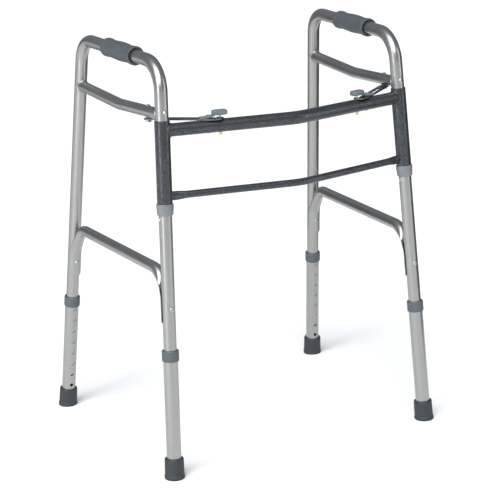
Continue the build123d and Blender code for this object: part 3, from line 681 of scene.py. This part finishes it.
def eased(outline, rounds=2):
    """Corner cutting that turns a coarse profile into a smooth one; the last two points stay."""
    fixed = outline[-2:]
    line = outline[:-2]
    for _ in range(rounds):
        cut = [line[0]]
        for a, b in zip(line, line[1:]):
            cut.append((0.75 * a[0] + 0.25 * b[0], 0.75 * a[1] + 0.25 * b[1]))
            cut.append((0.25 * a[0] + 0.75 * b[0], 0.25 * a[1] + 0.75 * b[1]))
        line = cut + [line[-1]]
    return line + fixed


def make_brace_screws(side):
    """Low domed screw heads with hexagon sockets, and their plain shanks."""
    seats = ((FRONT_LEG, -1, TUBE_R, SADDLE_R), (REAR_LEG, 1, SADDLE_R, TUBE_R))
    shapes = []
    for leg, way, head_seat, nut_seat in seats:
        place = Place(leg.at(0, 0, SCREW_HEIGHT), leg.z, leg.x * way)
        end = -nut_seat - 0.0056
        shank, recess, recess_floor = 0.0024, 0.0020, head_seat + 0.0006
        outline = rounded([
            (0.0, end), (shank, end), (shank, head_seat), (0.0046, head_seat),
            (0.0045, head_seat + 0.0009), (0.0037, head_seat + 0.0020),
            (0.0027, head_seat + 0.0025), (recess, head_seat + 0.0024),
            (recess, recess_floor), (0.0, recess_floor),
        ], 0.0004)

        def socket(angle, radius, height, seat=head_seat):
            """Turns the round recess into a hexagonal one."""
            if radius > 0.0021 or height < seat + 0.0004 or radius < 0.0001:
                return 0
            sector = (angle % (pi / 3)) - pi / 6
            return radius * (0.90 / cos(sector) - 1)

        shapes.append(lathe(place, outline, socket))
    add_piece(f"{side}_socket_screws", side, *joined(*shapes), ZINC, f"{side}_side",
              [f"{side}_brace_screws"], "zinc_hardware")


# --- Legs ---------------------------------------------------------------------------------
def make_leg_tube(side, end, leg):
    """Lower tube with its row of drilled holes, meshed as an unrolled wall.

    A point of the wall is (height, angle outside, angle inside): the two angles differ only
    at a hole, whose sides are parallel.
    """
    half = radians(30)               # half the width of the strip that holds the holes
    spots = [TOP_HOLE - i * HOLE_PITCH for i in range(HOLE_COUNT)][::-1]
    low, high = spots[0] - HOLE_PITCH / 2, spots[-1] + HOLE_PITCH / 2
    flat, faces, holes = [], [], []

    def point(height, angle):
        flat.append((height, angle, angle))
        return len(flat) - 1

    def strip(heights, angles):
        rows = [[point(h, a) for a in angles] for h in heights]
        for lower, upper in zip(rows, rows[1:]):
            for k in range(len(angles) - 1):
                faces.append((lower[k], lower[k + 1], upper[k + 1], upper[k]))

    wide = [half + (2 * pi - 2 * half) * k / 44 for k in range(45)]
    narrow = [-half + 2 * half * k / 8 for k in range(9)]
    strip([LEG_BOTTOM + (LEG_TOP - LEG_BOTTOM) * k / 12 for k in range(13)], wide)
    strip([LEG_BOTTOM, low], narrow)
    strip([high, LEG_TOP], narrow)
    around = 32
    for spot in spots:
        rings = []
        for share in (0.0, 0.12, 1.0):
            ring = []
            for k in range(around):
                way = 2 * pi * k / around + pi / 4
                dx, dy = cos(way), sin(way)
                square = 1 / max(abs(dx), abs(dy))
                edge = (spot + dx * square * HOLE_PITCH / 2, dy * square * half)
                rim = spot + HOLE_R * dx
                side_out = asin(HOLE_R * dy / LEG_R)
                side_in = asin(HOLE_R * dy / LEG_BORE)
                flat.append((
                    rim + (edge[0] - rim) * share,
                    side_out + (edge[1] - side_out) * share,
                    side_in + (edge[1] - side_in) * share,
                ))
                ring.append(len(flat) - 1)
            rings.append(ring)
        for inner_ring, outer_ring in zip(rings, rings[1:]):
            for k in range(around):
                n = (k + 1) % around
                faces.append((inner_ring[k], outer_ring[k], outer_ring[n], inner_ring[n]))
        holes.append(rings[0])
    outer = [leg.at(LEG_R * cos(a), LEG_R * sin(a), h) for h, a, b in flat]
    inner = [leg.at(LEG_BORE * cos(b), LEG_BORE * sin(b), h) for h, a, b in flat]
    grain = [(LEG_R * cos(a), LEG_R * sin(a), h) for h, a, b in flat] * 2
    count = len(flat)
    walls = faces + [tuple(reversed([v + count for v in f])) for f in faces]
    for ring in holes:
        for k in range(around):
            n = (k + 1) % around
            walls.append((ring[k], ring[n], ring[n] + count, ring[k] + count))
    add_piece(f"{side}_{end}_lower_tube", side, outer + inner, walls, grain, ALUMINIUM,
              f"{side}_{end}_leg", [f"{side}_{end}_leg_tube"], "satin_aluminium")


def make_leg_ring(side, end, leg):
    """Plastic ring on the mouth of the lower tube, with a lip over the tube's end."""
    bore, lip, chamfer = LEG_R - 0.0003, RING_TOP - 0.006, 0.0016
    outline = rounded([
        (bore, RING_BOTTOM), (RING_R - 0.0008, RING_BOTTOM), (RING_R, RING_BOTTOM + chamfer),
        (RING_R, RING_TOP - chamfer), (RING_R - 0.0012, RING_TOP), (LEG_BORE, RING_TOP),
        (LEG_BORE, lip), (bore, lip),
    ], 0.0009)
    add_piece(f"{side}_{end}_guide_ring", side, *lathe(leg, outline), RING_PLASTIC,
              f"{side}_{end}_leg", [f"{side}_{end}_leg_ring"], "slate_plastic")


def make_leg_button(side, end, leg):
    """Round-headed snap button, level with the inner face of the lower tube."""
    place = Place(leg.at(0, 0, BUTTON_HEIGHT), leg.z, leg.x)
    root = 0.0100
    outline = rounded([
        (0.0, root), (BUTTON_R, root), (BUTTON_R, LEG_BORE - 0.00045),
        (0.0022, LEG_BORE - 0.00012), (0.0, LEG_BORE - 0.00004),
    ], 0.0003)
    add_piece(f"{side}_{end}_snap_button", side, *lathe(place, outline), BRASS,
              f"{side}_{end}_button", [f"{side}_{end}_leg_button"], "brass")


def make_tip(side, end, leg):
    """Rubber ferrule with a flared foot and a shallow band, its underside level on the floor."""
    bore, bore_floor = LEG_R - 0.0003, 0.020
    level = 0.012                    # above this height the rubber is square to the leg
    outline = rounded([
        (0.0, 0.0), (TIP_BOTTOM_R - 0.0006, 0.0), (TIP_BOTTOM_R, 0.003),
        (TIP_BOTTOM_R - 0.0001, 0.0055), (TIP_BOTTOM_R - 0.0010, 0.0078),
        (TIP_BOTTOM_R - 0.0011, level), (TIP_TOP_R, TIP_HEIGHT - 0.003),
        (TIP_TOP_R - 0.0009, TIP_HEIGHT), (LEG_R + 0.0002, TIP_HEIGHT),
        (bore, TIP_HEIGHT - 0.001), (bore, bore_floor), (0.0, bore_floor),
    ], 0.0012)
    verts, faces, grain = lathe(leg, outline)
    settled = []
    for v, g in zip(verts, grain):
        share = max(0.0, 1 - g[2] / level)
        floor_point = v - leg.z * (v.z - g[2] * leg.z.z) / leg.z.z
        point = v.lerp(floor_point, share)
        settled.append(Vector((point.x, point.y, max(point.z, 0.0))))
    add_piece(f"{side}_{end}_rubber_tip", side, settled, faces, grain, TIP_RUBBER,
              f"{side}_{end}_leg", [f"{side}_{end}_tip"], "tip_rubber")


# --- Front frame --------------------------------------------------------------------------
def make_crossbar(name, bar, node):
    """Bowed bar between the sleeves, with a weld bead at each."""
    radius = bar["radius"]
    root = axis_point(FRONT_LEG, bar["z"])
    middle = Vector((0, FRONT_FOOT.y - bar["reach"], bar["z"]))
    far = Vector((-root.x, root.y, root.z))
    path = filleted(
        [root.lerp(middle, BAR_INSET / (middle - root).length), middle,
         far.lerp(middle, BAR_INSET / (middle - far).length)],
        [BAR_BEND_R],
    )
    path = divided(path, STEP, lambda a, b: min(abs(a.x - root.x), abs(a.x - far.x)) < 0.05)
    total = sum((b - a).length for a, b in zip(path, path[1:]))
    pressed, easing = 0.014, 0.022   # run of the pressed end, and of its change to round

    def section(run):
        """Round, but pressed taller and thinner near the sleeves where the bar asks for it."""
        end = smooth(1 - (min(run, total - run) - pressed) / easing)
        thin, tall = radius * (1 - bar["thinner"] * end), radius * (1 + bar["taller"] * end)
        turns = [2 * pi * k / ROUND for k in range(ROUND)]
        return [(thin * cos(turn), tall * sin(turn)) for turn in turns]

    verts, grain = sweep(path, UP, section)
    tube = (verts, grid_faces(len(path), ROUND), grain)
    bead = weld_bead(middle, root - middle, radius, FRONT_LEG.origin, FRONT_LEG.z, SLEEVE_R)
    mirrored = [Vector((-v.x, v.y, v.z)) for v in bead[0]]
    other = (mirrored, [tuple(reversed(f)) for f in bead[1]], bead[2])
    add_piece(name, "left", *joined(tube, bead, other), PAINT, "front_frame", [node],
              "hammered_paint")


def make_sleeve(side):
    """Steel tube that turns about the front upright."""
    low, high = (z / FRONT_LEG.z.z for z in (SLEEVE_BOTTOM, SLEEVE_TOP))
    outline = rounded([
        (SLEEVE_BORE, low), (SLEEVE_R, low), (SLEEVE_R, (low + high) / 2), (SLEEVE_R, high),
        (SLEEVE_BORE, high),
    ], 0.0007)
    add_piece(f"{side}_hinge_sleeve", side, *lathe(FRONT_LEG, outline), PAINT, "front_frame",
              [f"{side}_sleeve"], "hammered_paint")


def make_collar(side):
    """Plastic bearing under the sleeve, its lip round the sleeve's end."""
    low, high, seat = (z / FRONT_LEG.z.z for z in (COLLAR_BOTTOM, COLLAR_TOP, SLEEVE_BOTTOM))
    bore, lip = TUBE_R + 0.0001, SLEEVE_R - 0.0002
    outline = rounded([
        (bore, low), (COLLAR_BOTTOM_R - 0.0009, low), (COLLAR_BOTTOM_R, low + 0.0018),
        (COLLAR_BOTTOM_R + 0.0002, low + 0.005), (COLLAR_TOP_R - 0.0001, high - 0.006),
        (COLLAR_TOP_R, high - 0.001), (COLLAR_TOP_R - 0.0005, high), (lip, high),
        (lip, seat), (bore, seat),
    ], 0.0010)
    add_piece(f"{side}_bearing_collar", side, *lathe(FRONT_LEG, outline), COLLAR_PLASTIC,
              "front_frame", [f"{side}_sleeve_collar"], "grey_plastic")


# --- Release paddle -----------------------------------------------------------------------
def superellipsoid(place, half, power, rings=20):
    """Pillow-like block: a box whose edges and corners are rounded by the power."""
    verts, grain = [], []

    def bend(value):
        return (abs(value) ** (2 / power)) * (1 if value >= 0 else -1)

    for i in range(rings + 1):
        lat = pi * (i / rings - 0.5)
        for k in range(ROUND):
            lon = 2 * pi * k / ROUND
            p = (half[0] * bend(cos(lat)) * bend(cos(lon)),
                 half[1] * bend(cos(lat)) * bend(sin(lon)),
                 half[2] * bend(sin(lat)))
            verts.append(place.at(*p))
            grain.append(p)
    return verts, grid_faces(rings + 1, ROUND), grain


def make_paddle(side):
    """Thumb pad over the plunger, a tab round the guide rivet, and a sloping web between.

    Each block is (reach along the bar from the rivet, rise above the strap, slope, half
    sizes, power of its edges).  The tab ends just past the rivet and the web slopes up from
    there, so that the pressed paddle clears the strap.
    """
    base = Vector((RIVET.x, RIVET.y, STRAP_TOP))
    pad = (0.0230, 0.0097, 0.0, (0.0150, 0.0075, 0.0052), 4.5)
    tab = (-0.0078, 0.00215, 0.0, (0.0092, 0.0060, 0.00180), 9.0)
    web = (0.0058, 0.0036, 0.28, (0.0075, 0.0059, 0.00175), 6.0)
    blocks = []
    for reach, rise, slope, half, power in (pad, tab, web):
        place = Place(base + BAR_WAY * reach + UP * rise,
                      BAR_WAY + UP * slope, UP - BAR_WAY * slope)
        blocks.append(superellipsoid(place, half, power))
    shape = joined(*blocks)
    add_piece(f"{side}_thumb_paddle", side, *shape, PADDLE_PLASTIC, f"{side}_paddle",
              [f"{side}_release_paddle"], "paddle_plastic")


for side in ("left", "right"):
    make_side_tube(side)
    make_upper_brace(side)
    make_lower_brace(side)
    make_brace_screws(side)
    make_grip(side)
    make_sleeve(side)
    make_collar(side)
    make_paddle(side)
    for end, leg in (("front", FRONT_LEG), ("rear", REAR_LEG)):
        make_leg_tube(side, end, leg)
        make_leg_ring(side, end, leg)
        make_leg_button(side, end, leg)
        make_tip(side, end, leg)
make_crossbar("upper_cross_bar", UPPER_BAR, "upper_crossbar")
make_crossbar("lower_cross_bar", LOWER_BAR, "lower_crossbar")


# --- Stage, light and camera --------------------------------------------------------------
VIEW_YAW, VIEW_PITCH, VIEW_ROLL = 0.47937, 0.27430, -0.03834      # radians
CAMERA_AT = Vector((-1.6472, FRONT_FOOT.y - 2.9689, 1.3695))
LENS, SENSOR = 129.78, 36                                         # millimetres
FLOOR_REACH = 14.0
FLOOR_Z = -0.0005                    # just under the tips
FLAG_R, FLAG_HEIGHT = 1.05, 0.9


def stage_material(name, dark, light, scale, roughness):
    """Matt card or floor, faintly clouded between two colours."""
    material, nodes, links, shader = new_material(name)
    vector = coordinates(nodes, links, (1, 1, 1), from_grain=False)
    cloud = noise_value(nodes, links, vector, scale, 2, 0.5)
    tint = ramped(nodes, links, cloud, [(0.3, dark), (0.7, light)])
    links.new(tint, shader.inputs["Base Color"])
    shader.inputs["Roughness"].default_value = roughness
    return material


def make_floor():
    """Wide pale floor."""
    mesh = bpy.data.meshes.new("studio_floor")
    corners = [(-1, -1), (1, -1), (1, 1), (-1, 1)]
    verts = [(x * FLOOR_REACH, y * FLOOR_REACH, FLOOR_Z) for x, y in corners]
    mesh.from_pydata(verts, [], [(0, 1, 2, 3)])
    pale = stage_material("pale_floor", (0.86, 0.86, 0.86), (0.88, 0.88, 0.88), 2, 0.9)
    mesh.materials.append(pale)
    floor = bpy.data.objects.new("studio_floor", mesh)
    bpy.context.scene.collection.objects.link(floor)


def add_area_light(name, at, target, size, power):
    light = bpy.data.lights.new(name, "AREA")
    light.shape = "RECTANGLE"
    light.size, light.size_y = size
    light.energy = power
    lamp = bpy.data.objects.new(name, light)
    lamp.location = at
    lamp.rotation_euler = (Vector(target) - Vector(at)).to_track_quat("-Z", "Y").to_euler()
    bpy.context.scene.collection.objects.link(lamp)


def make_lights():
    """Large soft sun, two weak strips that edge the tubes, and a dim sky."""
    sun = bpy.data.lights.new("soft_sun", "SUN")
    sun.energy = 4.1
    sun.angle = radians(50)
    lamp = bpy.data.objects.new("soft_sun", sun)
    lamp.rotation_euler = Vector((0.55, 0.60, -0.95)).to_track_quat("-Z", "Y").to_euler()
    bpy.context.scene.collection.objects.link(lamp)
    target = (0, 0, 0.45)
    add_area_light("right_strip", (2.3, -2.4, 1.3), target, (0.4, 2.2), 16)
    add_area_light("left_strip", (-2.5, -0.9, 1.1), target, (0.5, 2.0), 20)
    world = bpy.data.worlds.new("studio")
    world.use_nodes = True
    sky = world.node_tree.nodes["Background"]
    sky.inputs["Color"].default_value = (0.84, 0.91, 1.0, 1)
    sky.inputs["Strength"].default_value = 0.32
    bpy.context.scene.world = world


def make_flag(name, start, end):
    """Dark studio card, curved round the object, that shows only in its reflections.

    It runs from the start to the end angle, in degrees off the view's direction.
    """
    steps = 12
    verts = []
    for k in range(steps + 1):
        angle = VIEW_YAW + radians(start + (end - start) * k / steps)
        verts += [(FLAG_R * sin(angle), FLAG_R * cos(angle), z) for z in (0.0, FLAG_HEIGHT)]
    faces = [(2 * k, 2 * k + 2, 2 * k + 3, 2 * k + 1) for k in range(steps)]
    mesh = bpy.data.meshes.new(name)
    mesh.from_pydata(verts, [], faces)
    mesh.materials.append(stage_material(name, (0.05, 0.05, 0.055), (0.07, 0.07, 0.075), 6, 0.95))
    flag = bpy.data.objects.new(name, mesh)
    bpy.context.scene.collection.objects.link(flag)
    flag.visible_camera = False
    flag.visible_diffuse = False
    flag.visible_shadow = False


def make_camera():
    """Long lens, a little to the left of the front and above, with a slight roll."""
    yaw, pitch, roll = VIEW_YAW, VIEW_PITCH, VIEW_ROLL
    ahead = Vector((sin(yaw) * cos(pitch), cos(yaw) * cos(pitch), -sin(pitch)))
    right = Vector((cos(yaw), -sin(yaw), 0))
    up = right.cross(ahead)
    right, up = right * cos(roll) + up * sin(roll), up * cos(roll) - right * sin(roll)
    data = bpy.data.cameras.new("camera")
    data.sensor_width = SENSOR
    data.lens = LENS
    camera = bpy.data.objects.new("camera", data)
    turn = Matrix((right, up, -ahead)).transposed().to_4x4()
    camera.matrix_world = Matrix.Translation(CAMERA_AT) @ turn
    bpy.context.scene.collection.objects.link(camera)
    bpy.context.scene.camera = camera


make_floor()
make_flag("left_flag", -62, -26)
make_flag("right_flag", 26, 105)
make_lights()
make_camera()
bpy.context.scene.view_settings.view_transform = "Standard"
